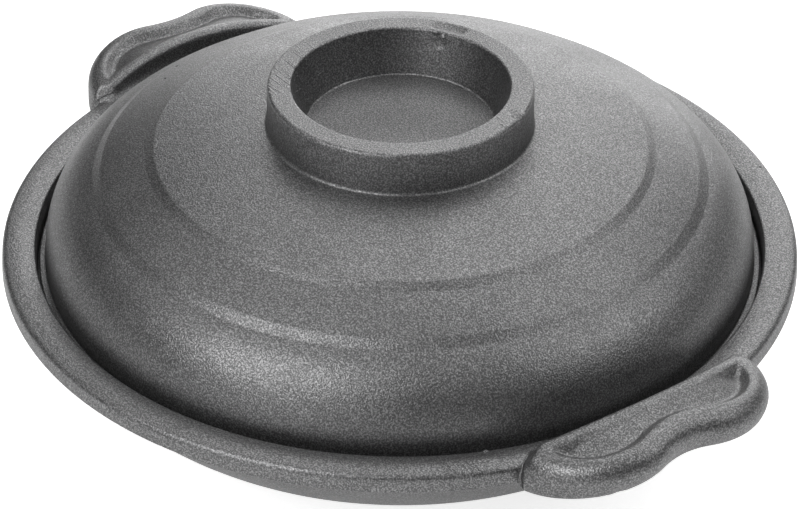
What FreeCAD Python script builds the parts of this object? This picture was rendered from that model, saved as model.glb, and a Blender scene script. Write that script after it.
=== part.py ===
import FreeCAD, Part
import math
import os

# Shallow round stew pot with two lobed lugs, and its domed lid.
# Millimetres. Origin at the centre of the flat base, +Z up, the lugs along X.
# A half section is drawn in the XZ plane, where X is the distance from the pot's axis.

CHORD = 0.15                # how far the chords of a turned bend may stand off its circle
HIDDEN_CHORD = 0.5          # the same inside the bowl and under the lid

# Rolled rim band
RIM_TOP = 38.5              # crown of the rim above the table
RIM_RADIUS = 102.0          # outer face, at the upper corner
RIM_WIDTH = 8.4             # from the outer face to the seat of the lid
RIM_DEPTH = 4.8             # height of the band
RIM_FLARE = 0.4             # how much wider the band is at its lower edge
RIM_CROWN_INSET = 4.2       # from the outer face to where the band's top is highest
RIM_INNER_FALL = 0.9        # fall from the crown to the inner edge
RIM_OUTER_FALL = 0.4        # fall from the crown to the outer corner
RIM_CORNER = 1.5            # rounding of the outer corner
RIM_INNER_CORNER = 0.7      # rounding of the inner edge
RIM_ROOT = 3.0              # hollow corner between the band and the bowl

# Bowl
BELLY_RADIUS = 57.0         # bend of the bowl, from the base to the rim
BELLY_OVERHANG = 0.6        # how far the whole bend would stand out past the rim's outer face
BASE_CUT = 0.3              # how much of the bend the flat base takes off
BODY_WALL = 4.2             # thickness of the bowl
FLOOR_THICKNESS = 4.5

# Seat of the lid inside the rim
LEDGE_DEPTH = 7.3           # ledge below the rim's crown
LEDGE_WIDTH = 4.4
LID_CLEARANCE = 0.55        # gap between the lid's flange and the seat, all round

# Lugs: arched along the rim, with two lobes and a waist; heights are from the rim's crown
LUG_TOP = 8.0               # top at the waist
LUG_UNDERSIDE = 1.7         # underside at the waist, below the crown
LUG_ARCH = 119.0            # radius of the arch, along the rim
OUTLINE_LEVEL = 8.5         # the two outlines are drawn this far above and below the crown
LUG_STANDOUT = 18.65        # lobe tips beyond the rim, upper outline
LOBE_RADIUS = 16.85
LOBE_OFFSET = 13.3          # lobe centres from the lug's centre line
WAIST_DIP = 4.3             # how far the waist stands back from the lobe tips
LUG_DRAFT = 8.05            # how far the lower outline's tips stand back
FOOT_LOBE_RADIUS = 25.6     # the same sizes of the lower outline
FOOT_LOBE_OFFSET = 13.65
FOOT_WAIST_DIP = 1.15
LUG_TAIL = 7.0              # how far the blank runs in past the lower lobe centres
LUG_TOP_ROUNDING = 4.5
LUG_BOTTOM_ROUNDING = 2.5

# Inner side of a lug, round the mouth
CREST_INSET = 2.3           # inner face in from the rim's outer face
CREST_ROOT = 3.5            # hollow corner at the foot of that face
CREST_SINK = 0.5            # that corner starts this far below the rim's crown
CREST_EASING = 1.0          # sloping edge between the inner face and the top
END_FOOT = 3.35             # where the end facets meet the rim, beyond the lobes' sides
END_TURN = 55.0             # direction of those facets from the lug's centre line, degrees
END_LEAN = 31.0             # how far they lean back, degrees

# Sunk centre of a lug
RECESS_DEPTH = 2.4
RECESS_BORDER = 11.35       # from the lobe tips to the recess's floor
RECESS_LOBE_RADIUS = 12.5
RECESS_LOBE_OFFSET = 14.5
RECESS_WAIST_DIP = 2.8
RECESS_WAIST_WIDTH = 1.2    # width of the floor at the waist
RECESS_SLOPE = 2.2          # run and fall of the sloping edge round it

# Lid: heights are above the ledge that it rests on
LID_WALL = 3.6
FLANGE_THICKNESS = 2.3
FLANGE_EDGE = 0.45          # softened edges of the flange
FLANGE_WIDTH = 1.95         # how far the flange stands out from the side
SHOULDER_RADIUS = 21.3      # bend between the side and the dome
SHOULDER_HEIGHT = 5.3       # where that bend starts
CROWN_RADIUS = 232.0        # the flat inner dome
MIDDLE_RADIUS = 110.0       # the zone between the two steps
OUTER_STEP_INSET = 13.0     # foot of the outer step in from the lid's side
INNER_STEP_INSET = 28.7     # top of the inner step in from the lid's side
STEP_WIDTH = 2.2
OUTER_STEP_RISE = 1.89
MIDDLE_RISE = 4.97
INNER_STEP_RISE = 1.38
CROWN_RISE = 5.1            # from the inner step to the ring

# Ring knob
RING_RISE = 11.44           # ground top face above the dome at the ring
RING_RADIUS = 33.4          # outer edge of the top face
RING_DRAFT = 0.02           # how much wider the ring gets for each millimetre down
CUP_RADIUS = 27.5           # mouth of the cup
CUP_DRAFT = 0.29            # how much narrower the cup gets for each millimetre down
CUP_DEPTH = 12.0
RING_EDGE = 0.6             # softened edges of the ring

BELLY_CENTRE = RIM_RADIUS + BELLY_OVERHANG - BELLY_RADIUS
SEAT_RADIUS = RIM_RADIUS - RIM_WIDTH
CREST_RADIUS = RIM_RADIUS - CREST_INSET
FLANGE_RADIUS = SEAT_RADIUS - LID_CLEARANCE
LID_SIDE_RADIUS = FLANGE_RADIUS - FLANGE_WIDTH
LUG_TIP = RIM_RADIUS + LUG_STANDOUT
SMALL = 0.01


def point(radius, height, across=0.0):
    return FreeCAD.Vector(radius, across, height)


def line(a, b):
    return Part.LineSegment(a, b).toShape()


def arc(a, middle, b):
    return Part.Arc(a, middle, b).toShape()


def circle_point(centre, radius, angle):
    """Point of a half section's circle; the angle is in radians from the outward direction."""
    return point(centre[0] + radius * math.cos(angle), centre[1] + radius * math.sin(angle))


def bend(centre, radius, start, end, error=CHORD):
    """Points on a circular bend, close enough for its chords to keep to it."""
    widest = 2 * math.acos(max(0.0, 1 - error / radius))
    count = max(1, math.ceil(abs(end - start) / widest))
    return [circle_point(centre, radius, start + (end - start) * k / count) for k in range(count + 1)]


def bulge(a, b, radius):
    """Points from a to b on a bend of the given radius that swells up and out."""
    chord = b.sub(a)
    half = chord.Length / 2
    across = FreeCAD.Vector(-chord.z, 0, chord.x).normalize()
    if across.z < 0:
        across.multiply(-1)
    middle = FreeCAD.Vector(a.add(b)).multiply(0.5)
    centre = middle.sub(across.multiply(math.sqrt(radius ** 2 - half ** 2)))
    start = math.atan2(a.z - centre.z, a.x - centre.x)
    end = math.atan2(b.z - centre.z, b.x - centre.x)
    return bend((centre.x, centre.z), radius, start, end)


def eased(before, corner, after, radius):
    """Points that round a corner between its two neighbours."""
    back = before.sub(corner).normalize()
    ahead = after.sub(corner).normalize()
    opening = back.getAngle(ahead)
    reach = radius / math.tan(opening / 2)
    middle = back.add(ahead).normalize()
    centre = corner.add(middle.multiply(radius / math.sin(opening / 2)))
    first = corner.add(back.multiply(reach)).sub(centre)
    last = corner.add(ahead.multiply(reach)).sub(centre)
    start = math.atan2(first.z, first.x)
    turn = math.remainder(math.atan2(last.z, last.x) - start, 2 * math.pi)
    return bend((centre.x, centre.z), radius, start, start + turn)


def section(points):
    """Flat section inside a closed run of points."""
    return Part.Face(Part.makePolygon(points + [points[0]]))


def revolve(face):
    """Solid of revolution about Z from a half section."""
    solid = face.revolve(point(0, 0), FreeCAD.Vector(0, 0, 1), 360)
    if solid.Volume < 0:
        solid.reverse()
    return solid


def bowl_bend(inset, bottom, widest, error):
    """Points up the bowl's bend, set in by a wall, from a height out to a radius."""
    centre = (BELLY_CENTRE, BELLY_RADIUS - BASE_CUT)
    radius = BELLY_RADIUS - inset
    start = -math.asin((centre[1] - bottom) / radius)
    end = -math.acos((widest - centre[0]) / radius)
    return bend(centre, radius, start, end, error)


def bowl_radius(height):
    """Outer radius of the bowl at a height."""
    rise = BELLY_RADIUS - BASE_CUT - height
    return BELLY_CENTRE + math.sqrt(BELLY_RADIUS ** 2 - rise ** 2)


def rim_top_points():
    """Points over the rim from the foot of its outer face to the seat of the lid."""
    lip = point(RIM_RADIUS + RIM_FLARE, RIM_TOP - RIM_DEPTH)
    outer = point(RIM_RADIUS, RIM_TOP - RIM_OUTER_FALL)
    crown = point(RIM_RADIUS - RIM_CROWN_INSET, RIM_TOP)
    inner = point(SEAT_RADIUS, RIM_TOP - RIM_INNER_FALL)
    ledge = point(SEAT_RADIUS, RIM_TOP - LEDGE_DEPTH)
    points = [lip]
    points += eased(lip, outer, crown, RIM_CORNER)
    points.append(crown)
    points += eased(crown, inner, ledge, RIM_INNER_CORNER)
    return points + [ledge]


def body():
    """Bowl, rim band and the seat and ledge for the lid, turned from one half section."""
    under = RIM_TOP - RIM_DEPTH
    lip = point(RIM_RADIUS + RIM_FLARE, under)
    belly = bowl_bend(0.0, 0.0, bowl_radius(under - RIM_ROOT), CHORD)
    corner = point(bowl_radius(under), under)
    cavity = bowl_bend(BODY_WALL, FLOOR_THICKNESS, SEAT_RADIUS - LEDGE_WIDTH, HIDDEN_CHORD)
    points = [point(0, 0)] + belly[:-1]
    points += eased(belly[-1], corner, lip, RIM_ROOT)
    points += rim_top_points()
    points.append(point(SEAT_RADIUS - LEDGE_WIDTH, RIM_TOP - LEDGE_DEPTH))
    points += reversed(cavity)
    points.append(point(0, FLOOR_THICKNESS))
    return revolve(section(points))


def lobed_outline(height, inner, tip, radius, offset, dip):
    """Closed outline at one height: two lobes with a waist between them, and straight sides."""
    centre = tip - radius
    waist_radius = (offset ** 2 - 2 * radius * dip + dip ** 2) / (2 * dip)
    waist_centre = tip - dip + waist_radius
    turn = math.atan2(-offset, waist_centre - centre)
    lobes = []
    for side in (1.0, -1.0):
        corners = []
        for angle in (math.pi / 2, (math.pi / 2 + turn) / 2, turn):
            across = side * (offset + radius * math.sin(angle))
            corners.append(point(centre + radius * math.cos(angle), height, across))
        lobes.append(corners)
    right = lobes[0]
    left = lobes[1]
    inner_right = point(inner, height, offset + radius)
    inner_left = point(inner, height, -offset - radius)
    return Part.Wire([line(inner_left, inner_right),
                      line(inner_right, right[0]),
                      arc(right[0], right[1], right[2]),
                      arc(right[2], point(tip - dip, height), left[2]),
                      arc(left[2], left[1], left[0]),
                      line(left[0], inner_left)])


def arched_slab(bottom, top, start, end):
    """Slab between two heights above the table that falls away along the rim, with the lug's arch."""
    half = 0.4 * LUG_ARCH
    drop = LUG_ARCH - math.sqrt(LUG_ARCH ** 2 - half ** 2)
    corners = []
    for height in (bottom, top):
        corners.append((point(start, height - drop, -half), point(start, height),
                        point(start, height - drop, half)))
    low = corners[0]
    high = corners[1]
    face = Part.Face(Part.Wire([arc(low[0], low[1], low[2]),
                                line(low[2], high[2]),
                                arc(high[2], high[1], high[0]),
                                line(high[0], low[0])]))
    return face.extrude(point(end - start, 0))


def arch_edges(solid, crown, nearest):
    """Edges of a solid that lie on the lug's arch of a crown height, beyond a distance along X."""
    found = []
    for edge in solid.Edges:
        middle = edge.valueAt((edge.FirstParameter + edge.LastParameter) / 2)
        height = math.sqrt(LUG_ARCH ** 2 - middle.y ** 2) - LUG_ARCH + crown
        ends = [vertex.Point.x for vertex in edge.Vertexes]
        if abs(middle.z - height) < SMALL and min(ends + [middle.x]) > nearest:
            found.append(edge)
    return found


def lug_blank():
    """Lug between its two outlines and its two arched faces, rounded along the outer edges."""
    foot_tip = LUG_TIP - LUG_DRAFT
    inner = foot_tip - FOOT_LOBE_RADIUS - LUG_TAIL
    upper = lobed_outline(RIM_TOP + OUTLINE_LEVEL, inner, LUG_TIP, LOBE_RADIUS, LOBE_OFFSET, WAIST_DIP)
    lower = lobed_outline(RIM_TOP - OUTLINE_LEVEL, inner, foot_tip, FOOT_LOBE_RADIUS,
                          FOOT_LOBE_OFFSET, FOOT_WAIST_DIP)
    top = RIM_TOP + LUG_TOP
    bottom = RIM_TOP - LUG_UNDERSIDE
    blank = Part.makeLoft([lower, upper], True, True)
    blank = blank.common(arched_slab(bottom, top, inner - 1, LUG_TIP + 1))
    blank = blank.makeFillet(LUG_TOP_ROUNDING, arch_edges(blank, top, inner + SMALL))
    return blank.makeFillet(LUG_BOTTOM_ROUNDING, arch_edges(blank, bottom, inner + SMALL))


def mouth_tool():
    """What is turned off the inner side of a lug, with the hollow corner at the foot."""
    foot = RIM_TOP - CREST_SINK
    corner = (CREST_RADIUS - CREST_ROOT, foot + CREST_ROOT)
    roof = RIM_TOP + 2 * LUG_TOP
    points = [point(0, 0), point(corner[0], 0)]
    points += bend(corner, CREST_ROOT, -math.pi / 2, 0.0)
    points += [point(CREST_RADIUS, roof), point(0, roof)]
    return revolve(section(points))


def end_tool(side):
    """What is taken off one end of a lug: a leaning facet above the rim, an upright one below."""
    across = LOBE_OFFSET + LOBE_RADIUS + END_FOOT
    foot = point(math.sqrt(RIM_RADIUS ** 2 - across ** 2), RIM_TOP, side * across)
    turn = math.radians(END_TURN)
    along = point(math.cos(turn), 0, side * math.sin(turn))
    away = point(-math.sin(turn), 0, side * math.cos(turn))
    size = 3 * LUG_TOP
    lean = size * math.tan(math.radians(END_LEAN))
    start = foot - along * size
    corners = [start,
               start - away * lean + point(0, size),
               start + away * size + point(0, size),
               start + away * size - point(0, size),
               start - point(0, size)]
    return section(corners).extrude(along * (2 * size))


def recess_outline():
    """Closed outline of the recess's floor: two lobes, a waist, and an inner side round the mouth."""
    tip = LUG_TIP - RECESS_BORDER
    centre = tip - RECESS_LOBE_RADIUS
    inner = tip - RECESS_WAIST_DIP - RECESS_WAIST_WIDTH
    dip = RECESS_WAIST_DIP
    waist_radius = (RECESS_LOBE_OFFSET ** 2 - 2 * RECESS_LOBE_RADIUS * dip + dip ** 2) / (2 * dip)
    waist_centre = tip - dip + waist_radius
    turn = math.atan2(-RECESS_LOBE_OFFSET, waist_centre - centre)
    reach = math.hypot(centre, RECESS_LOBE_OFFSET)
    along = (reach ** 2 + inner ** 2 - RECESS_LOBE_RADIUS ** 2) / (2 * reach)
    end = math.atan2(RECESS_LOBE_OFFSET, centre) + math.acos(along / inner)
    start = math.atan2(inner * math.sin(end) - RECESS_LOBE_OFFSET, inner * math.cos(end) - centre)
    lobes = []
    for side in (1.0, -1.0):
        corners = []
        for angle in (start, (start + turn) / 2, turn):
            across = side * (RECESS_LOBE_OFFSET + RECESS_LOBE_RADIUS * math.sin(angle))
            corners.append(point(centre + RECESS_LOBE_RADIUS * math.cos(angle), 0, across))
        lobes.append(corners)
    right = lobes[0]
    left = lobes[1]
    return Part.Wire([arc(left[0], point(inner, 0), right[0]),
                      arc(right[0], right[1], right[2]),
                      arc(right[2], point(tip - dip, 0), left[2]),
                      arc(left[2], left[1], left[0])])


def recess_tool():
    """What is sunk into the top of a lug, down to its arched floor."""
    floor = RIM_TOP + LUG_TOP - RECESS_DEPTH
    prism = Part.Face(recess_outline()).extrude(point(0, RIM_TOP + 2 * LUG_TOP))
    return prism.common(arched_slab(floor, floor + 2 * LUG_TOP, 0, LUG_TIP))


def lug():
    """One lug, ready to be joined to the body."""
    top = RIM_TOP + LUG_TOP
    recess = recess_tool()
    piece = lug_blank().cut([mouth_tool(), end_tool(1.0), end_tool(-1.0), recess])
    crest = []
    border = []
    for edge in arch_edges(piece, top, 0.0):
        middle = edge.valueAt((edge.FirstParameter + edge.LastParameter) / 2)
        if abs(math.hypot(middle.x, middle.y) - CREST_RADIUS) < SMALL:
            crest.append(edge)
        elif recess.distToShape(Part.Vertex(middle))[0] < SMALL:
            border.append(edge)
    piece = piece.makeChamfer(RECESS_SLOPE, border)
    return piece.makeChamfer(CREST_EASING, crest)


def pot():
    """The pot in one piece: the body and both lugs."""
    piece = body()
    handle = lug()
    for turn in (0, 180):
        piece = piece.fuse(handle.rotated(point(0, 0), FreeCAD.Vector(0, 0, 1), turn))
    return piece.removeSplitter()


def shoulder_bend(inset, error):
    """Points on the bend between the lid's side and the outer step, set in by a wall."""
    centre = (LID_SIDE_RADIUS - SHOULDER_RADIUS, SHOULDER_HEIGHT)
    radius = SHOULDER_RADIUS - inset
    turn = math.acos((SHOULDER_RADIUS - OUTER_STEP_INSET) / SHOULDER_RADIUS)
    return bend(centre, radius, turn, 0.0, error)


def step_corners():
    """Corners of the two steps, from the top of the inner one down to the foot of the outer one."""
    inner = LID_SIDE_RADIUS - INNER_STEP_INSET
    outer_foot = shoulder_bend(0.0, CHORD)[0]
    outer_top = point(outer_foot.x - STEP_WIDTH, outer_foot.z + OUTER_STEP_RISE)
    inner_foot = point(inner + STEP_WIDTH, outer_top.z + MIDDLE_RISE)
    return [point(inner, inner_foot.z + INNER_STEP_RISE), inner_foot, outer_top]


def crown():
    """Points on the flat dome from the ring out to the inner step."""
    edge = step_corners()[0]
    return bulge(point(RING_RADIUS, edge.z + CROWN_RISE), edge, CROWN_RADIUS)


def outer_dome():
    """Points down the lid from the ring to the flange, over its two steps."""
    corners = step_corners()
    middle = bulge(corners[1], corners[2], MIDDLE_RADIUS)
    return crown() + middle + shoulder_bend(0.0, CHORD)


def under_dome():
    """Points up the inside of the lid from the ledge to the ring; the steps don't show there."""
    side = list(reversed(shoulder_bend(LID_WALL, HIDDEN_CHORD)))
    inner = [corner.sub(point(0, LID_WALL)) for corner in reversed(crown())]
    return [point(side[0].x, 0)] + side + inner


def lid():
    """The lid in one piece, at its place on the pot's ledge."""
    dome = outer_dome()
    top = dome[0].z + RING_RISE
    floor = top - CUP_DEPTH
    cup_foot = point(CUP_RADIUS - CUP_DEPTH * CUP_DRAFT, floor)
    mouth = point(CUP_RADIUS, top)
    edge = point(RING_RADIUS, top)
    root = point(RING_RADIUS + RING_RISE * RING_DRAFT, dome[0].z)
    flange = [point(LID_SIDE_RADIUS, FLANGE_THICKNESS), point(FLANGE_RADIUS, FLANGE_THICKNESS),
              point(FLANGE_RADIUS, 0)]
    inside = under_dome()
    points = [point(0, floor), cup_foot]
    points += eased(cup_foot, mouth, edge, RING_EDGE)
    points += eased(mouth, edge, root, RING_EDGE)
    points += [root] + dome[1:]
    points.append(flange[0])
    points += eased(flange[0], flange[1], flange[2], FLANGE_EDGE)
    points += eased(flange[1], flange[2], inside[0], FLANGE_EDGE)
    points += inside
    points += [point(RING_RADIUS, floor - LID_WALL), point(0, floor - LID_WALL)]
    piece = revolve(section(points))
    piece.translate(point(0, RIM_TOP - LEDGE_DEPTH))
    return piece


os.makedirs("parts", exist_ok=True)
for name, shape in (("pot", pot()), ("lid", lid())):
    shape.exportStep("parts/" + name + ".step")
    print(name, shape.isValid(), len(shape.Solids), round(shape.Volume), shape.BoundBox)
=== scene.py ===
import math

import bmesh
import bpy
from bpy.props import FloatProperty, FloatVectorProperty, IntProperty, PointerProperty
from mathutils import Matrix, Vector


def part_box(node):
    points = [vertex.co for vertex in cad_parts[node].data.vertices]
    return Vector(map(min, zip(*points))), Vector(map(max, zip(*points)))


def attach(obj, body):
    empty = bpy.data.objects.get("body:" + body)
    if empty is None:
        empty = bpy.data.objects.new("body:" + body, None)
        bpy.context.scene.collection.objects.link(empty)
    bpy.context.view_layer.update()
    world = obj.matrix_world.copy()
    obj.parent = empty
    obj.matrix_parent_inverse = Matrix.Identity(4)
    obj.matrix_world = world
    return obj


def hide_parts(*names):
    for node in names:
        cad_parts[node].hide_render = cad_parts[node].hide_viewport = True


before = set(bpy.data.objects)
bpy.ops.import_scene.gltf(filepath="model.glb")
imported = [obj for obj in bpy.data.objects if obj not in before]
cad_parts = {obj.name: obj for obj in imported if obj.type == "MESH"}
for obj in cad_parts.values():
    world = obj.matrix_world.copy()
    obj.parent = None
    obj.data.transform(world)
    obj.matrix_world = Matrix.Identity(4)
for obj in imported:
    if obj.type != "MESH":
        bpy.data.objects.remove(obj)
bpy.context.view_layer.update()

bl_info = {
    "name": "Lidded Stew Pot",
    "version": (1, 0, 0),
    "blender": (4, 5, 0),
    "location": "View3D > Sidebar > Stew Pot",
    "description": "Dresses a lidded stew pot with its cast finish and sets up its studio",
    "category": "Object",
}

RIM_FLARE = 0.0004
POT_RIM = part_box("pot")[1].y - RIM_FLARE
LUG_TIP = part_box("pot")[1].x
LID_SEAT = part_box("lid")[0].z
LID_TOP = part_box("lid")[1].z
LID_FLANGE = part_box("lid")[1].x

# The ring's face lies this much under the lid's full height, which its specks reach.
SPECK_HEIGHT = 0.0002
# How far past one another two pieces go where they join.
OVERLAP = 0.0002


def length(name, description, default):
    """Length property in metres"""
    return FloatProperty(name=name, description=description, subtype='DISTANCE', unit='LENGTH',
                         default=default, min=0.0, precision=5)


class PotShapeSettings(bpy.types.PropertyGroup):
    """Sizes of the bowl, its rim and its lugs"""

    rim_radius: length("Rim radius", "Middle of the pot to the top of the rim's outer face", POT_RIM)
    rim_height: length("Rim height", "Table to the crown of the rim", 0.0385)
    rim_width: length("Rim width", "Rim from its outer face to the lid's seat", 0.0084)
    rim_depth: length("Rim depth", "Height of the rim's outer face", 0.0048)
    crown_inset: length("Crown inset", "Outer face to the highest line of the rim", 0.0042)
    crown_rounding: length("Crown rounding", "Rounding of the rim's highest line", 0.012)
    outer_fall: length("Outer fall", "Crown down to the outer edge", 0.0004)
    inner_fall: length("Inner fall", "Crown down to the inner edge", 0.0009)
    outer_edge: length("Outer edge", "Rounding of the rim's outer edge", 0.0015)
    lower_edge: length("Lower edge", "Rounding of the rim's lower edge", 0.00035)
    inner_edge: length("Inner edge", "Rounding of the rim's inner edge", 0.0007)
    rim_root: length("Rim root", "Bottom of the rim's outer face down to where the bowl's bend ends", 0.003)
    root_rounding: length("Root rounding", "Rounding under the rim", 0.0026)
    belly_radius: length("Belly radius", "Bend of the bowl's side", 0.057)
    belly_overhang: length("Belly overhang", "How far the bowl's bend reaches past the rim", 0.0006)
    base_cut: length("Base cut", "How much of the bowl's bend the flat base cuts off", 0.0003)
    wall: length("Wall", "Thickness of the bowl's side", 0.0042)
    floor_thickness: length("Floor thickness", "Thickness of the bowl's floor", 0.0045)
    ledge_depth: length("Ledge depth", "Crown of the rim down to the lid's ledge", 0.0073)
    ledge_width: length("Ledge width", "Width of the lid's ledge", 0.0044)
    ledge_corner: length("Ledge corner", "Rounding behind the lid's ledge", 0.0004)
    ledge_edge: length("Ledge edge", "Rounding of the ledge's edge over the bowl", 0.0005)
    lug_top: length("Lug top", "Crown of the rim up to the top of a lug", 0.008)
    lug_arch: length("Lug arch", "Radius of a lug's arched top", 0.119)
    lug_half_length: length("Lug half length", "Middle of a lug to where the rim goes on alone", 0.044)
    lug_back: length("Lug back", "Rim's outer face in to where a lug's piece is cut off", 0.016)
    lug_below: length("Lug below", "Crown of the rim down to where a lug's piece is cut off", 0.0135)
    recess_depth: length("Recess depth", "Depth of the field sunk in a lug", 0.00245)
    recess_reach: length("Recess reach", "Middle of a lug to the end of its sunk field", 0.0252)
    recess_fade: length("Recess fade", "Stretch at each end where the sunk field runs out", 0.0085)
    recess_land: length("Recess land", "Rim's outer face out to the sunk field's inner edge", 0.001)
    recess_bed: length("Recess bed", "Crown of the rim up to the bottom of the bed's block", 0.002)
    recess_least_width: length("Recess least width", "Width from which the field has its full depth", 0.0015)
    lobe_inset: length("Lobe inset", "Rim's outer face in to the middles of the field's lobes", 0.0052)
    lobe_offset: length("Lobe offset", "Middle of a lug to the middle of a lobe", 0.0145)
    lobe_radius: length("Lobe radius", "Radius of a lobe of the sunk field", 0.0125)
    waist_dip: length("Waist dip", "How far the field's outline dips between its lobes", 0.0028)
    flash_radius: length("Flash radius", "Half the width of a line of flash", 0.00022)
    skin_grain: length("Skin grain", "Finest width of a lug's skin", 0.0004)
    skin_inset: length("Skin inset", "How far a lug's skin is drawn in", 0.00006)
    skin_passes: IntProperty(
        name="Skin passes",
        description="How often a lug's edges are eased",
        default=16,
        min=0,
        max=60,
    )
    turning_steps: IntProperty(
        name="Turning steps",
        description="Number of straight steps in a full turn of a round piece",
        default=320,
        min=32,
        max=720,
    )


class LidShapeSettings(bpy.types.PropertyGroup):
    """Sizes of the lid and its ring"""

    flange_radius: length("Flange radius", "Middle of the lid to its edge", LID_FLANGE)
    flange_width: length("Flange width", "How far the flange stands out", 0.00195)
    flange_thickness: length("Flange thickness", "Height of the flange", 0.0023)
    flange_edge: length("Flange edge", "Rounding of the flange's edges", 0.00045)
    flange_corner: length("Flange corner", "Rounding where the side meets the flange", 0.0006)
    foot_edge: length("Foot edge", "Rounding of the lid's inner edge at its foot", 0.0004)
    wall: length("Wall", "Thickness of the lid", 0.0036)
    shoulder_radius: length("Shoulder radius", "Bend of the lid's side", 0.0213)
    shoulder_height: length("Shoulder height", "Ledge up to the middle of that bend", 0.0053)
    outer_step_inset: length("Outer step inset", "Lid's side to the outer step", 0.013)
    inner_step_inset: length("Inner step inset", "Lid's side to the inner step", 0.0287)
    step_width: length("Step width", "Width of a step's slope", 0.0022)
    outer_step_rise: length("Outer step rise", "Height of the outer step", 0.00189)
    middle_rise: length("Middle rise", "Climb of the band between the steps", 0.00497)
    inner_step_rise: length("Inner step rise", "Height of the inner step", 0.00138)
    crown_rise: length("Crown rise", "Climb from the inner step to the ring", 0.0051)
    crown_radius: length("Crown radius", "Bend of the lid's crown", 0.232)
    middle_radius: length("Middle radius", "Bend of the band between the steps", 0.11)
    step_rounding: length("Step rounding", "Rounding at the head and foot of a step", 0.0024)
    ring_radius: length("Ring radius", "Outside of the ring", 0.0334)
    ring_root: length("Ring root", "Rounding where the ring stands on the lid", 0.0008)
    cup_radius: length("Cup radius", "Mouth of the cup in the ring", 0.0275)
    cup_floor_radius: length("Cup floor radius", "Floor of the cup", 0.024)
    cup_depth: length("Cup depth", "Ring's top down to the cup's floor", 0.012)
    cup_corner: length("Cup corner", "Rounding round the cup's floor", 0.0005)
    cup_edge: length("Cup edge", "Rounding of the ring's inner edge", 0.0007)
    ring_edge: length("Ring edge", "Rounding of the ring's outer edge", 0.0009)


class PotFinishSettings(bpy.types.PropertyGroup):
    """Colours and grain of the charcoal finish"""

    colour: FloatVectorProperty(
        name="Finish colour",
        description="Charcoal of the fired finish",
        subtype='COLOR',
        size=3,
        min=0.0,
        max=1.0,
        default=(0.105, 0.105, 0.106),
    )
    fleck_colour: FloatVectorProperty(
        name="Fleck colour",
        description="Pale flecks between the dark grains",
        subtype='COLOR',
        size=3,
        min=0.0,
        max=1.0,
        default=(0.31, 0.31, 0.312),
    )
    metal_share: FloatProperty(
        name="Metal share",
        description="How much of the satin coat shines like dull metal",
        subtype='FACTOR',
        default=0.9,
        min=0.0,
        max=1.0,
    )
    dull_patches: FloatProperty(
        name="Dull patches",
        description="Number of duller patches of the finish in a metre",
        default=45.0,
        min=1.0,
    )
    stroke_relief: length("Stroke relief", "Height of grinding strokes and scratches", 0.0002)
    grain_relief: length("Grain relief", "Height of the sand grain", 0.00012)
    grain_size: length("Grain size", "Width of one grain of the sandy finish", 0.00039)
    roughness: FloatProperty(
        name="Roughness",
        description="Roughness of the matte finish",
        subtype='FACTOR',
        default=0.44,
        min=0.0,
        max=1.0,
    )


class PotStageSettings(bpy.types.PropertyGroup):
    """Floor, lamps and camera"""

    lens: FloatProperty(
        name="Lens",
        description="Focal length of the camera",
        subtype='DISTANCE_CAMERA',
        unit='CAMERA',
        default=119.0,
        min=10.0,
        max=400.0,
    )
    camera_turn: FloatProperty(
        name="Camera turn",
        description="Direction the camera looks in, turned from +Y towards -X",
        subtype='ANGLE',
        unit='ROTATION',
        default=math.radians(54.5),
    )
    camera_tilt: FloatProperty(
        name="Camera tilt",
        description="How far the camera looks down",
        subtype='ANGLE',
        unit='ROTATION',
        default=math.radians(34.99),
    )
    camera_roll: FloatProperty(
        name="Camera roll",
        description="Turn of the camera about its own line of sight",
        subtype='ANGLE',
        unit='ROTATION',
        default=math.radians(0.35),
    )
    camera_place: FloatVectorProperty(
        name="Camera place",
        description="Where the camera stands",
        subtype='TRANSLATION',
        unit='LENGTH',
        size=3,
        default=(0.4597, -0.3278, 0.4237),
    )
    floor_colour: FloatVectorProperty(
        name="Floor colour",
        description="Plain pale floor",
        subtype='COLOR',
        size=3,
        min=0.0,
        max=1.0,
        default=(0.8, 0.8, 0.8),
    )


def rounded_corner(before, corner, after, radius, segments=5):
    """Points that round a profile corner, each end held by a close support point"""
    back = (before - corner).normalized()
    ahead = (after - corner).normalized()
    opening = back.angle(ahead)
    reach = radius / math.tan(opening / 2)
    centre = corner + (back + ahead).normalized() * radius / math.sin(opening / 2)
    first = corner + back * reach - centre
    last = corner + ahead * reach - centre
    start = math.atan2(first.y, first.x)
    turn = math.remainder(math.atan2(last.y, last.x) - start, 2 * math.pi)
    points = []
    for k in range(segments + 1):
        angle = start + turn * k / segments
        points.append(centre + radius * Vector((math.cos(angle), math.sin(angle))))
    hold = 0.25 * reach
    return [points[0] + back * hold] + points + [points[-1] + ahead * hold]


def profile_line(corners):
    """Profile points from corners of radius, height and rounding; without rounding it stays sharp"""
    places = [Vector(corner[:2]) for corner in corners]
    points = [places[0]]
    for k in range(1, len(corners) - 1):
        if corners[k][2] > 0:
            points += rounded_corner(places[k - 1], places[k], places[k + 1], corners[k][2])
        else:
            points.append(places[k])
    return points + [places[-1]]


def arc_corners(centre, radius, start, end, count):
    """Corners along a bend of the profile, between two angles from the outward direction"""
    corners = []
    for k in range(count + 1):
        angle = start + (end - start) * k / count
        corners.append((centre[0] + radius * math.cos(angle), centre[1] + radius * math.sin(angle), 0))
    return corners


def swelling_corners(a, b, radius, count):
    """Corners from a to b on a bend that swells up and out"""
    a = Vector(a)
    b = Vector(b)
    chord = b - a
    across = Vector((-chord.y, chord.x)).normalized()
    if across.y < 0:
        across = -across
    centre = (a + b) / 2 - across * math.sqrt(radius ** 2 - (chord.length / 2) ** 2)
    start = math.atan2(a.y - centre.y, a.x - centre.x)
    end = math.atan2(b.y - centre.y, b.x - centre.x)
    return arc_corners(centre, radius, start, end, count)


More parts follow.
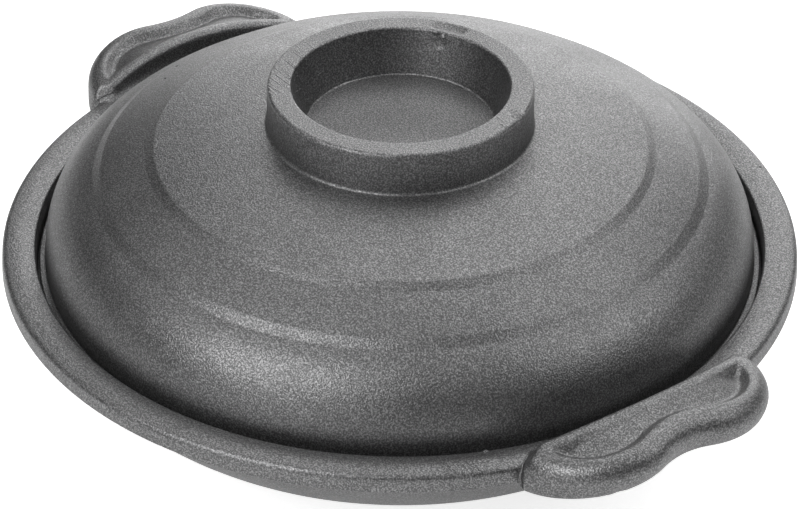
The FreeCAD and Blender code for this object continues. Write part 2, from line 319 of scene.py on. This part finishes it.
def turned_mesh(name, points, steps):
    """Mesh turned about the pot's axis from a profile that starts and ends on the axis"""
    bm = bmesh.new()
    verts = [bm.verts.new((point.x, 0.0, point.y)) for point in points]
    edges = [bm.edges.new(pair) for pair in zip(verts, verts[1:])]
    bmesh.ops.spin(bm, geom=verts + edges, axis=(0, 0, 1), cent=(0, 0, 0), dvec=(0, 0, 0),
                   angle=2 * math.pi, steps=steps, use_merge=True)
    bmesh.ops.remove_doubles(bm, verts=bm.verts, dist=1e-7)
    bmesh.ops.recalc_face_normals(bm, faces=bm.faces)
    for face in bm.faces:
        face.smooth = True
    mesh = bpy.data.meshes.new(name)
    bm.to_mesh(mesh)
    bm.free()
    return mesh


def turned_place(radius, turn, height):
    """Place at a distance from the pot's axis, a turn about it in degrees and a height"""
    turn = math.radians(turn)
    return Vector((radius * math.cos(turn), radius * math.sin(turn), height))


def work_marks(mesh, marks):
    """Work small dents and lumps into a mesh

    A mark is its radius, turn in degrees and height, its push along x, y and z, and its reach.
    """
    bm = bmesh.new()
    bm.from_mesh(mesh)
    for radius, turn, height, push, reach in marks:
        place = turned_place(radius, turn, height)
        for _ in range(4):
            coarse = [edge for edge in bm.edges
                      if edge.calc_length() > reach / 5
                      and ((edge.verts[0].co + edge.verts[1].co) / 2 - place).length
                      < 1.3 * reach + edge.calc_length() / 2]
            if not coarse:
                break
            bmesh.ops.subdivide_edges(bm, edges=coarse, cuts=1, use_grid_fill=True)
        for vert in bm.verts:
            share = (vert.co - place).length / reach
            if share < 1:
                vert.co += Vector(push) * (1 - share ** 2) ** 2
    bmesh.ops.triangulate(bm, faces=[face for face in bm.faces if len(face.verts) > 4])
    for face in bm.faces:
        face.smooth = True
    bm.to_mesh(mesh)
    bm.free()


def new_piece(name, mesh, material):
    """Object at the origin that rides on the pot"""
    piece = bpy.data.objects.new(name, mesh)
    bpy.context.scene.collection.objects.link(piece)
    mesh.materials.clear()
    mesh.materials.append(material)
    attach(piece, "root")
    return piece


def lid_profile(lid):
    """Lid from the axis in the cup, over ring, dome, steps and flange, and back inside"""
    side = lid.flange_radius - lid.flange_width
    top = LID_TOP - SPECK_HEIGHT - LID_SEAT
    shoulder = (side - lid.shoulder_radius, lid.shoulder_height)
    inner_bend = lid.shoulder_radius - lid.wall
    outer_step = side - lid.outer_step_inset
    inner_step = side - lid.inner_step_inset
    turn = math.acos((outer_step - shoulder[0]) / lid.shoulder_radius)
    inner_turn = math.acos((outer_step - shoulder[0]) / inner_bend)
    outer_top = shoulder[1] + lid.shoulder_radius * math.sin(turn) + lid.outer_step_rise
    inner_foot = outer_top + lid.middle_rise
    inner_top = inner_foot + lid.inner_step_rise
    ring_foot = inner_top + lid.crown_rise

    crown = swelling_corners((lid.ring_radius + OVERLAP, ring_foot), (inner_step, inner_top),
                             lid.crown_radius, 10)
    middle = swelling_corners((inner_step + lid.step_width, inner_foot),
                              (outer_step - lid.step_width, outer_top), lid.middle_radius, 6)
    bend = arc_corners(shoulder, lid.shoulder_radius, turn, 0.0, 16)
    for run, end in ((crown, -1), (middle, 0), (middle, -1), (bend, 0)):
        run[end] = (*run[end][:2], lid.step_rounding)
    crown[0] = (*crown[0][:2], lid.ring_root)
    inside = arc_corners(shoulder, inner_bend, 0.0, inner_turn, 12)
    roof = [(radius, height - lid.wall, 0) for radius, height, _ in reversed(crown)]
    cup_floor = top - lid.cup_depth
    pad = cup_floor - lid.wall

    corners = [(0, cup_floor, 0), (lid.cup_floor_radius, cup_floor, lid.cup_corner),
               (lid.cup_radius, top, lid.cup_edge), (lid.ring_radius, top, lid.ring_edge)]
    corners += crown + middle + bend
    corners += [(side, lid.flange_thickness, lid.flange_corner),
                (lid.flange_radius, lid.flange_thickness, lid.flange_edge),
                (lid.flange_radius, 0, lid.flange_edge), (side - lid.wall, 0, lid.foot_edge)]
    corners += inside + roof
    corners += [(lid.ring_radius, pad, 0), (0, pad, 0)]
    return [point + Vector((0, LID_SEAT)) for point in profile_line(corners)]


def pot_profile(pot):
    """Bowl, rim band, seat and ledge, from the middle of the base round to the middle of the floor"""
    rim = pot.rim_radius
    crown = pot.rim_height
    under = crown - pot.rim_depth
    seat = rim - pot.rim_width
    ledge = crown - pot.ledge_depth
    ledge_end = seat - pot.ledge_width
    bend = pot.belly_radius
    inner_bend = bend - pot.wall
    belly = (rim + pot.belly_overhang - bend, bend - pot.base_cut)
    root = math.asin((belly[1] - under + pot.rim_root) / bend)
    side = belly[0] + bend * math.cos(root)

    corners = [(0, 0, 0)]
    corners += arc_corners(belly, bend, -math.asin(belly[1] / bend), -root, 24)
    corners += [(side, under, pot.root_rounding), (rim + RIM_FLARE, under, pot.lower_edge),
                (rim, crown - pot.outer_fall, pot.outer_edge),
                (rim - pot.crown_inset, crown, pot.crown_rounding),
                (seat, crown - pot.inner_fall, pot.inner_edge),
                (seat, ledge, pot.ledge_corner), (ledge_end, ledge, pot.ledge_edge)]
    corners += arc_corners(belly, inner_bend, -math.acos((ledge_end - belly[0]) / inner_bend),
                           -math.asin((belly[1] - pot.floor_thickness) / inner_bend), 20)
    corners.append((0, pot.floor_thickness, 0))
    return profile_line(corners)


def cut_copy(node, planes):
    """Merged copy of a CAD node, kept on the inner side of some planes and closed where they cut"""
    bm = bmesh.new()
    bm.from_mesh(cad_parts[node].data)
    bmesh.ops.remove_doubles(bm, verts=bm.verts, dist=1e-6)
    for place, outward in planes:
        cut = bmesh.ops.bisect_plane(bm, geom=bm.verts[:] + bm.edges[:] + bm.faces[:], dist=1e-7,
                                     plane_co=place, plane_no=outward, clear_outer=True)
        edges = [item for item in cut["geom_cut"] if isinstance(item, bmesh.types.BMEdge)]
        bmesh.ops.edgenet_fill(bm, edges=edges)
    bmesh.ops.recalc_face_normals(bm, faces=bm.faces)
    return bm


def arch_drop(pot, across):
    """How far a lug's top has fallen at a distance along the rim from its middle"""
    return pot.lug_arch - math.sqrt(pot.lug_arch ** 2 - across ** 2)


def recess_foot(pot, across):
    """Distance along X of the foot of the recess's outer wall: two lobes with a waist between them"""
    lobes = pot.rim_radius - pot.lobe_inset
    dip = pot.waist_dip
    waist_radius = (pot.lobe_offset ** 2 - 2 * pot.lobe_radius * dip + dip ** 2) / (2 * dip)
    waist_centre = lobes + pot.lobe_radius - dip + waist_radius
    meeting = pot.lobe_offset * waist_radius / (waist_radius + pot.lobe_radius)
    if abs(across) < meeting:
        return waist_centre - math.sqrt(waist_radius ** 2 - across ** 2)
    return lobes + math.sqrt(pot.lobe_radius ** 2 - (abs(across) - pot.lobe_offset) ** 2)


def add_recess_bed(bm, pot, side):
    """Gently sloping bed of a lug's recess, from the land by the mouth down to the outer wall"""
    sections = 28
    loops = []
    for k in range(sections + 1):
        across = pot.recess_reach * (2 * k / sections - 1)
        level = pot.rim_height + pot.lug_top - arch_drop(pot, across)
        bottom = pot.rim_height + pot.recess_bed - arch_drop(pot, across)
        inner = math.sqrt((pot.rim_radius + pot.recess_land) ** 2 - across ** 2)
        outer = max(recess_foot(pot, across) + 2 * OVERLAP, inner + OVERLAP)
        depth = pot.recess_depth * min(1.0, (outer - inner) / pot.recess_least_width)
        fade = max(0.0, (abs(across) - pot.recess_reach) / pot.recess_fade + 1) ** 2
        corners = [(inner, level - OVERLAP - pot.recess_depth * fade),
                   (outer, level - depth - OVERLAP / 2 * fade), (outer, bottom), (inner, bottom)]
        verts = [bm.verts.new((side * x, side * across, z)) for x, z in corners]
        loops.append([bm.edges.new(pair) for pair in zip(verts, verts[1:] + verts[:1])])
    for before, after in zip(loops, loops[1:]):
        bmesh.ops.bridge_loops(bm, edges=before + after)
    for loop in (loops[0], loops[-1]):
        bmesh.ops.contextual_create(bm, geom=loop)


def lug_mesh(pot, side):
    """One lug with the stretch of rim behind it"""
    behind = pot.rim_radius - pot.lug_back
    planes = [((side * behind, 0, 0), (-side, 0, 0)), ((0, pot.lug_half_length, 0), (0, 1, 0)),
              ((0, -pot.lug_half_length, 0), (0, -1, 0)),
              ((0, 0, pot.rim_height - pot.lug_below), (0, 0, -1))]
    bm = cut_copy("pot", planes)
    add_recess_bed(bm, pot, side)
    bmesh.ops.recalc_face_normals(bm, faces=bm.faces)
    mesh = bpy.data.meshes.new("lug")
    bm.to_mesh(mesh)
    bm.free()
    return mesh


def soften(piece, grain, passes, inset):
    """Give a piece one even skin with its edges eased, as a sanded casting's are"""
    skin = piece.modifiers.new("even_skin", 'REMESH')
    skin.mode = 'VOXEL'
    skin.voxel_size = grain
    skin.use_smooth_shade = True
    ease = piece.modifiers.new("eased_edges", 'SMOOTH')
    ease.factor = 0.5
    ease.iterations = passes
    shrink = piece.modifiers.new("inset", 'DISPLACE')
    shrink.mid_level = 0.0
    shrink.strength = -inset
    bpy.context.view_layer.update()
    settled = piece.evaluated_get(bpy.context.evaluated_depsgraph_get())
    piece.data = bpy.data.meshes.new_from_object(settled)
    piece.modifiers.clear()


def flash_mesh(places, radius):
    """Thin raised line of flash along some places, thinner at both ends"""
    bm = bmesh.new()
    loops = []
    for k, place in enumerate(places):
        ahead = (places[min(k + 1, len(places) - 1)] - places[max(k - 1, 0)]).normalized()
        width = radius * (0.35 if k in (0, len(places) - 1) else 1.0)
        facing = ahead.to_track_quat('Z', 'Y').to_matrix().to_4x4()
        made = bmesh.ops.create_circle(bm, cap_ends=False, segments=8, radius=width,
                                       matrix=Matrix.Translation(place) @ facing)
        loops.append({edge for vert in made["verts"] for edge in vert.link_edges})
    for before, after in zip(loops, loops[1:]):
        bmesh.ops.bridge_loops(bm, edges=list(before | after))
    for loop in (loops[0], loops[-1]):
        bmesh.ops.contextual_create(bm, geom=list(loop))
    bmesh.ops.recalc_face_normals(bm, faces=bm.faces)
    for face in bm.faces:
        face.smooth = True
    mesh = bpy.data.meshes.new("flash")
    bm.to_mesh(mesh)
    bm.free()
    return mesh


def ring_marks(lid):
    """Scooped gate mark, notch, chipped edge and specks on the ring"""
    face = LID_TOP - SPECK_HEIGHT
    middle = (lid.ring_radius + lid.cup_radius) / 2
    scoop = [(middle - 0.00001, 120.61, face, (0, 0, -0.0009), 0.0036),
             (middle - 0.00033, 114.52, face, (0, 0, -0.0007), 0.0028),
             (middle - 0.00033, 126.22, face, (0, 0, -0.0005), 0.0022)]
    notch = [(lid.cup_radius + 0.00019, 125.30, face - 0.0004, (0.0001, -0.0003, 0), 0.0012),
             (lid.cup_radius - 0.00021, 121.36, face - 0.0003, (-0.0002, 0.0003, -0.0004), 0.0014),
             (lid.cup_radius - 0.00092, 121.78, face - 0.0029, (-0.0001, 0.0003, 0), 0.0024)]
    chip = [(lid.ring_radius + 0.00036, 29.45, face - 0.0004, (0.0003, 0.0002, SPECK_HEIGHT), 0.0015),
            (lid.ring_radius - 0.00089, 26.09, face - 0.0002, (-0.0003, -0.0002, -0.0006), 0.0018),
            (middle + 0.00024, 28.40, face, (0, 0, -0.0003), 0.0016)]
    specks = [(middle - 0.00159, 20.70, face, (0, 0, SPECK_HEIGHT), 0.0007),
              (middle + 0.00087, 16.70, face, (0, 0, SPECK_HEIGHT), 0.0007)]
    return scoop + notch + chip + specks


def lid_pits(lid):
    """Two small pits in the band between the lid's steps"""
    outer_step = lid.flange_radius - lid.flange_width - lid.outer_step_inset
    return [(outer_step - 0.00597, -155.25, LID_TOP - 0.0211, (0.0001, 0.00004, -0.00035), 0.0007),
            (outer_step - 0.00341, -161.90, LID_TOP - 0.0221, (0.0001, 0.00003, -0.00035), 0.0007)]


def rim_marks(pot):
    """Pit with a raised lip in the rim's outer face, pit in its top and bump on its inner edge"""
    face = pot.rim_radius
    crown = pot.rim_height
    seat = face - pot.rim_width
    return [(face - 0.00025, -77.40, crown - 0.0019, (-0.00006, 0.0005, -0.0001), 0.0009),
            (face + 0.00027, -77.64, crown - 0.0027, (0.00004, -0.0002, 0), 0.0007),
            (face - 0.00193, 70.62, crown - 0.0001, (0, 0, -0.0003), 0.0006),
            (seat + 0.00017, -23.17, crown - 0.0008, (-0.0002, 0.0001, 0.0003), 0.0011)]


def front_lug_marks(pot):
    """Steps of trimmed flash on the front lug's lower edge"""
    return [(LUG_TIP + 0.00024, -10.06, pot.rim_height - 0.0020, (-0.0003, 0, 0.0007), 0.0028),
            (LUG_TIP + 0.00095, 0.97, pot.rim_height - 0.0015, (-0.0003, 0, 0.0003), 0.0020)]


def back_lug_marks(pot):
    """Nick in the back lug's outer edge"""
    return [(LUG_TIP - 0.00079, -176.05, pot.rim_height + 0.0067, (0.0004, 0, -0.0006), 0.0011)]


def front_flash(pot):
    """Line of flash where the rim runs into the front lug, over the rim's top and down its face"""
    face = pot.rim_radius
    crown = pot.rim_height
    return [turned_place(face - 0.00436, -17.34, crown),
            turned_place(face - 0.00302, -18.07, crown),
            turned_place(face - 0.00166, -18.78, crown - 0.0001),
            turned_place(face - 0.00026, -19.34, crown - 0.0003),
            turned_place(face + 0.00140, -19.78, crown - 0.0006),
            turned_place(face + 0.00192, -19.92, crown - 0.0015),
            turned_place(face + 0.00239, -20.00, crown - 0.0026),
            turned_place(face + 0.00271, -19.99, crown - 0.0038),
            turned_place(face + 0.00251, -19.86, crown - 0.0049)]


def back_flash(pot):
    """Line of flash where the rim runs into the back lug"""
    face = pot.rim_radius
    crown = pot.rim_height
    return [turned_place(face + 0.00070, -160.49, crown + 0.0001),
            turned_place(face + 0.00011, -161.09, crown + 0.0009),
            turned_place(face - 0.00081, -161.74, crown + 0.0015),
            turned_place(face - 0.00193, -162.43, crown + 0.0020),
            turned_place(face - 0.00246, -162.82, crown + 0.0023)]


def fresh_material(name):
    """Empty node material with its output"""
    material = bpy.data.materials.new(name)
    material.use_nodes = True
    nodes = material.node_tree.nodes
    nodes.clear()
    output = nodes.new("ShaderNodeOutputMaterial")
    output.location = (880, 0)
    return material, nodes, material.node_tree.links, output


def node_at(nodes, kind, column, row, **values):
    """Shader node placed on a grid, with input values by name"""
    node = nodes.new(kind)
    node.location = (column * 220, row * 220)
    for key, value in values.items():
        node.inputs[key.replace("_", " ")].default_value = value
    return node


def stroke_height(nodes, links, place, row, centre, turn, reach, width):
    """Height of fine parallel strokes round a place: a noise drawn out along one direction"""
    drawn = node_at(nodes, "ShaderNodeMapping", -4, row, Rotation=(0, 0, turn),
                    Scale=(0.05, 1.0, 1.0))
    strokes = node_at(nodes, "ShaderNodeTexNoise", -3, row, Scale=1.0 / width, Detail=2.0)
    away = node_at(nodes, "ShaderNodeVectorMath", -4, row - 0.5)
    away.operation = 'DISTANCE'
    away.inputs[1].default_value = centre
    near = node_at(nodes, "ShaderNodeMapRange", -3, row - 0.5, From_Min=0.6 * reach, From_Max=reach,
                   To_Min=1.0, To_Max=0.0)
    ridge = node_at(nodes, "ShaderNodeMapRange", -2, row, From_Min=0.58, From_Max=0.7)
    both = node_at(nodes, "ShaderNodeMath", -1, row)
    both.operation = 'MULTIPLY'
    links.new(place.outputs["Object"], drawn.inputs["Vector"])
    links.new(drawn.outputs["Vector"], strokes.inputs["Vector"])
    links.new(place.outputs["Object"], away.inputs[0])
    links.new(away.outputs["Value"], near.inputs["Value"])
    links.new(strokes.outputs["Fac"], ridge.inputs["Value"])
    links.new(ridge.outputs["Result"], both.inputs[0])
    links.new(near.outputs["Result"], both.inputs[1])
    return both.outputs["Value"]


def grainy_charcoal(name, settings, strokes=None):
    """Satin charcoal coat over sand grain, with dull patches and a few fine strokes"""
    material, nodes, links, output = fresh_material(name)
    shader = node_at(nodes, "ShaderNodeBsdfPrincipled", 3, 0)
    shader.inputs["Metallic"].default_value = settings.metal_share
    links.new(shader.outputs["BSDF"], output.inputs["Surface"])
    place = node_at(nodes, "ShaderNodeTexCoord", -6, 0)

    grain = node_at(nodes, "ShaderNodeTexNoise", -4, 1, Scale=1.0 / settings.grain_size, Detail=1.0,
                    Roughness=0.5)
    cloud = node_at(nodes, "ShaderNodeTexNoise", -4, -1, Scale=settings.dull_patches, Detail=4.0,
                    Roughness=0.6)
    for texture in (grain, cloud):
        links.new(place.outputs["Object"], texture.inputs["Vector"])

    fleck = node_at(nodes, "ShaderNodeMapRange", -3, 1, From_Min=0.42, From_Max=0.74)
    links.new(grain.outputs["Fac"], fleck.inputs["Value"])
    colour = node_at(nodes, "ShaderNodeMix", -1, 1)
    colour.data_type = 'RGBA'
    colour.inputs["A"].default_value = (*settings.colour, 1.0)
    colour.inputs["B"].default_value = (*settings.fleck_colour, 1.0)
    links.new(fleck.outputs["Result"], colour.inputs["Factor"])
    links.new(colour.outputs["Result"], shader.inputs["Base Color"])

    satin = node_at(nodes, "ShaderNodeMapRange", -3, -1, From_Min=0.3, From_Max=0.7,
                    To_Min=settings.roughness - 0.05, To_Max=settings.roughness + 0.06)
    links.new(cloud.outputs["Fac"], satin.inputs["Value"])
    links.new(satin.outputs["Result"], shader.inputs["Roughness"])

    relief = node_at(nodes, "ShaderNodeBump", 1, -1, Strength=1.0, Distance=settings.grain_relief)
    links.new(grain.outputs["Fac"], relief.inputs["Height"])
    links.new(relief.outputs["Normal"], shader.inputs["Normal"])
    if strokes:
        height = stroke_height(nodes, links, place, -3, **strokes)
        scored = node_at(nodes, "ShaderNodeBump", 2, -2, Strength=1.0, Distance=settings.stroke_relief)
        links.new(height, scored.inputs["Height"])
        links.new(relief.outputs["Normal"], scored.inputs["Normal"])
        links.new(scored.outputs["Normal"], shader.inputs["Normal"])
    return material


class STEWPOT_OT_pot(bpy.types.Operator):
    """Turn the bowl with its rim and give it its finish"""

    bl_idname = "stewpot.pot"
    bl_label = "Bowl"

    def execute(self, context):
        pot = context.scene.stewpot_pot
        scuff_place = turned_place(pot.rim_radius + 0.00021, -27.69, pot.rim_height - 0.0025)
        scuff = {"centre": scuff_place, "turn": math.radians(-61), "reach": 0.007, "width": 0.00035}
        material = grainy_charcoal("pot_finish", context.scene.stewpot_finish, scuff)
        mesh = turned_mesh("bowl", pot_profile(pot), pot.turning_steps)
        work_marks(mesh, rim_marks(pot))
        bowl = new_piece("bowl", mesh, material)
        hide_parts("pot")
        return {'FINISHED'}


class STEWPOT_OT_lugs(bpy.types.Operator):
    """Shape both lugs with their soft edges, recesses and lines of flash"""

    bl_idname = "stewpot.lugs"
    bl_label = "Lugs"

    def execute(self, context):
        pot = context.scene.stewpot_pot
        material = grainy_charcoal("lug_finish", context.scene.stewpot_finish)
        for name, side, marks in (("front_lug", 1, front_lug_marks(pot)),
                                  ("back_lug", -1, back_lug_marks(pot))):
            lug = new_piece(name, lug_mesh(pot, side), material)
            soften(lug, pot.skin_grain, pot.skin_passes, pot.skin_inset)
            work_marks(lug.data, marks)
        for name, line in (("front_flash", front_flash(pot)), ("back_flash", back_flash(pot))):
            new_piece(name, flash_mesh(line, pot.flash_radius), material)
        return {'FINISHED'}


class STEWPOT_OT_lid(bpy.types.Operator):
    """Turn the lid with its steps and ring and give it its finish"""

    bl_idname = "stewpot.lid"
    bl_label = "Lid"

    def execute(self, context):
        lid = context.scene.stewpot_lid
        middle = (lid.ring_radius + lid.cup_radius) / 2
        ground_place = turned_place(middle + 0.00016, -141.63, LID_TOP)
        ground = {"centre": ground_place, "turn": math.radians(20), "reach": 0.016, "width": 0.0006}
        material = grainy_charcoal("lid_finish", context.scene.stewpot_finish, ground)
        mesh = turned_mesh("lid_shell", lid_profile(lid), context.scene.stewpot_pot.turning_steps)
        work_marks(mesh, ring_marks(lid) + lid_pits(lid))
        shell = new_piece("lid_shell", mesh, material)
        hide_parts("lid")
        return {'FINISHED'}


def soft_lamp(name, direction, height, distance, size, power):
    """Soft box in a direction from the pot and at an angle above the floor, both in degrees"""
    lamp = bpy.data.lights.new(name, 'AREA')
    lamp.shape = 'RECTANGLE'
    lamp.size = size[0]
    lamp.size_y = size[1]
    lamp.energy = power
    holder = bpy.data.objects.new(name, lamp)
    bpy.context.scene.collection.objects.link(holder)
    turn = math.radians(direction)
    rise = math.radians(height)
    away = Vector((math.cos(rise) * math.cos(turn), math.cos(rise) * math.sin(turn), math.sin(rise)))
    facing = away.to_track_quat('Z', 'Y').to_matrix().to_4x4()
    holder.matrix_world = Matrix.Translation(away * distance + Vector((0, 0, 0.04))) @ facing
    return holder


def floor_material(colour):
    """Pale matte floor that the camera and the pot's sheen see as nearly white"""
    material, nodes, links, output = fresh_material("floor_finish")
    matte = node_at(nodes, "ShaderNodeBsdfDiffuse", 1, 1, Color=(*colour, 1.0))
    glow = node_at(nodes, "ShaderNodeEmission", 1, -1, Color=(1.0, 1.0, 1.0, 1.0))
    path = node_at(nodes, "ShaderNodeLightPath", -3, 0)
    seen = node_at(nodes, "ShaderNodeMath", -1, 0)
    seen.operation = 'MULTIPLY'
    seen.inputs[1].default_value = 0.78
    mirrored = node_at(nodes, "ShaderNodeMath", -1, -1)
    mirrored.operation = 'MULTIPLY'
    mirrored.inputs[1].default_value = 0.4
    either = node_at(nodes, "ShaderNodeMath", 0, 0)
    either.operation = 'ADD'
    links.new(path.outputs["Is Camera Ray"], seen.inputs[0])
    links.new(path.outputs["Is Glossy Ray"], mirrored.inputs[0])
    links.new(seen.outputs["Value"], either.inputs[0])
    links.new(mirrored.outputs["Value"], either.inputs[1])
    links.new(either.outputs["Value"], glow.inputs["Strength"])
    both = node_at(nodes, "ShaderNodeAddShader", 2, 0)
    links.new(matte.outputs["BSDF"], both.inputs[0])
    links.new(glow.outputs["Emission"], both.inputs[1])
    links.new(both.outputs["Shader"], output.inputs["Surface"])
    return material


def studio_world():
    """Dim grey room that the camera sees as white"""
    world = bpy.data.worlds.new("studio")
    world.use_nodes = True
    nodes = world.node_tree.nodes
    links = world.node_tree.links
    nodes.clear()
    room = node_at(nodes, "ShaderNodeBackground", 0, 0, Color=(0.9, 0.9, 0.9, 1.0), Strength=0.02)
    white = node_at(nodes, "ShaderNodeBackground", 0, -1, Color=(1.0, 1.0, 1.0, 1.0), Strength=1.0)
    path = node_at(nodes, "ShaderNodeLightPath", 0, 1)
    either = node_at(nodes, "ShaderNodeMixShader", 1, 0)
    out = node_at(nodes, "ShaderNodeOutputWorld", 2, 0)
    links.new(path.outputs["Is Camera Ray"], either.inputs["Fac"])
    links.new(room.outputs["Background"], either.inputs[1])
    links.new(white.outputs["Background"], either.inputs[2])
    links.new(either.outputs["Shader"], out.inputs["Surface"])
    return world


class STEWPOT_OT_stage(bpy.types.Operator):
    """Set up the floor, the lamps and the camera"""

    bl_idname = "stewpot.stage"
    bl_label = "Stage"

    def execute(self, context):
        settings = context.scene.stewpot_stage
        scene = context.scene

        bm = bmesh.new()
        bmesh.ops.create_grid(bm, x_segments=1, y_segments=1, size=4.0)
        mesh = bpy.data.meshes.new("floor")
        bm.to_mesh(mesh)
        bm.free()
        floor = bpy.data.objects.new("floor", mesh)
        scene.collection.objects.link(floor)
        floor.data.materials.append(floor_material(settings.floor_colour))

        soft_lamp("key_lamp", -80, 46, 1.2, (0.55, 0.75), 9.8)
        soft_lamp("low_lamp", -66, 13, 1.2, (0.3, 0.2), 1.1)
        soft_lamp("side_lamp", 48, 46, 1.2, (0.8, 0.6), 5.0)
        soft_lamp("left_lamp", -145, 52, 1.2, (0.7, 0.5), 1.2)
        soft_lamp("back_panel", 135, 13, 1.2, (1.1, 0.5), 6.2)
        soft_lamp("overhead_lamp", 130, 58, 1.2, (1.0, 0.9), 7.2)

        scene.world = studio_world()

        camera_data = bpy.data.cameras.new("camera")
        camera_data.sensor_width = 36.0
        camera_data.lens = settings.lens
        camera_data.clip_start = 0.01
        camera = bpy.data.objects.new("camera", camera_data)
        scene.collection.objects.link(camera)
        turn = Matrix.Rotation(settings.camera_turn, 4, 'Z')
        tilt = Matrix.Rotation(math.radians(90) - settings.camera_tilt, 4, 'X')
        roll = Matrix.Rotation(settings.camera_roll, 4, 'Z')
        camera.matrix_world = Matrix.Translation(settings.camera_place) @ turn @ tilt @ roll
        scene.camera = camera
        scene.view_settings.view_transform = 'Standard'
        return {'FINISHED'}


class STEWPOT_PT_panel(bpy.types.Panel):
    """Pieces of the stew pot"""

    bl_idname = "STEWPOT_PT_panel"
    bl_label = "Stew Pot"
    bl_space_type = 'VIEW_3D'
    bl_region_type = 'UI'
    bl_category = "Stew Pot"

    def draw(self, context):
        layout = self.layout
        scene = context.scene
        for group in (scene.stewpot_pot, scene.stewpot_lid, scene.stewpot_finish, scene.stewpot_stage):
            box = layout.box()
            for name in group.__annotations__:
                box.prop(group, name)
        for operator in (STEWPOT_OT_pot, STEWPOT_OT_lugs, STEWPOT_OT_lid, STEWPOT_OT_stage):
            layout.operator(operator.bl_idname)


CLASSES = (
    PotShapeSettings,
    LidShapeSettings,
    PotFinishSettings,
    PotStageSettings,
    STEWPOT_OT_pot,
    STEWPOT_OT_lugs,
    STEWPOT_OT_lid,
    STEWPOT_OT_stage,
    STEWPOT_PT_panel,
)


def register():
    for cls in CLASSES:
        bpy.utils.register_class(cls)
    bpy.types.Scene.stewpot_pot = PointerProperty(type=PotShapeSettings)
    bpy.types.Scene.stewpot_lid = PointerProperty(type=LidShapeSettings)
    bpy.types.Scene.stewpot_finish = PointerProperty(type=PotFinishSettings)
    bpy.types.Scene.stewpot_stage = PointerProperty(type=PotStageSettings)


def unregister():
    del bpy.types.Scene.stewpot_stage
    del bpy.types.Scene.stewpot_finish
    del bpy.types.Scene.stewpot_lid
    del bpy.types.Scene.stewpot_pot
    for cls in reversed(CLASSES):
        bpy.utils.unregister_class(cls)


def main():
    register()
    bpy.ops.stewpot.stage()
    bpy.ops.stewpot.pot()
    bpy.ops.stewpot.lugs()
    bpy.ops.stewpot.lid()


if __name__ == "__main__":
    main()
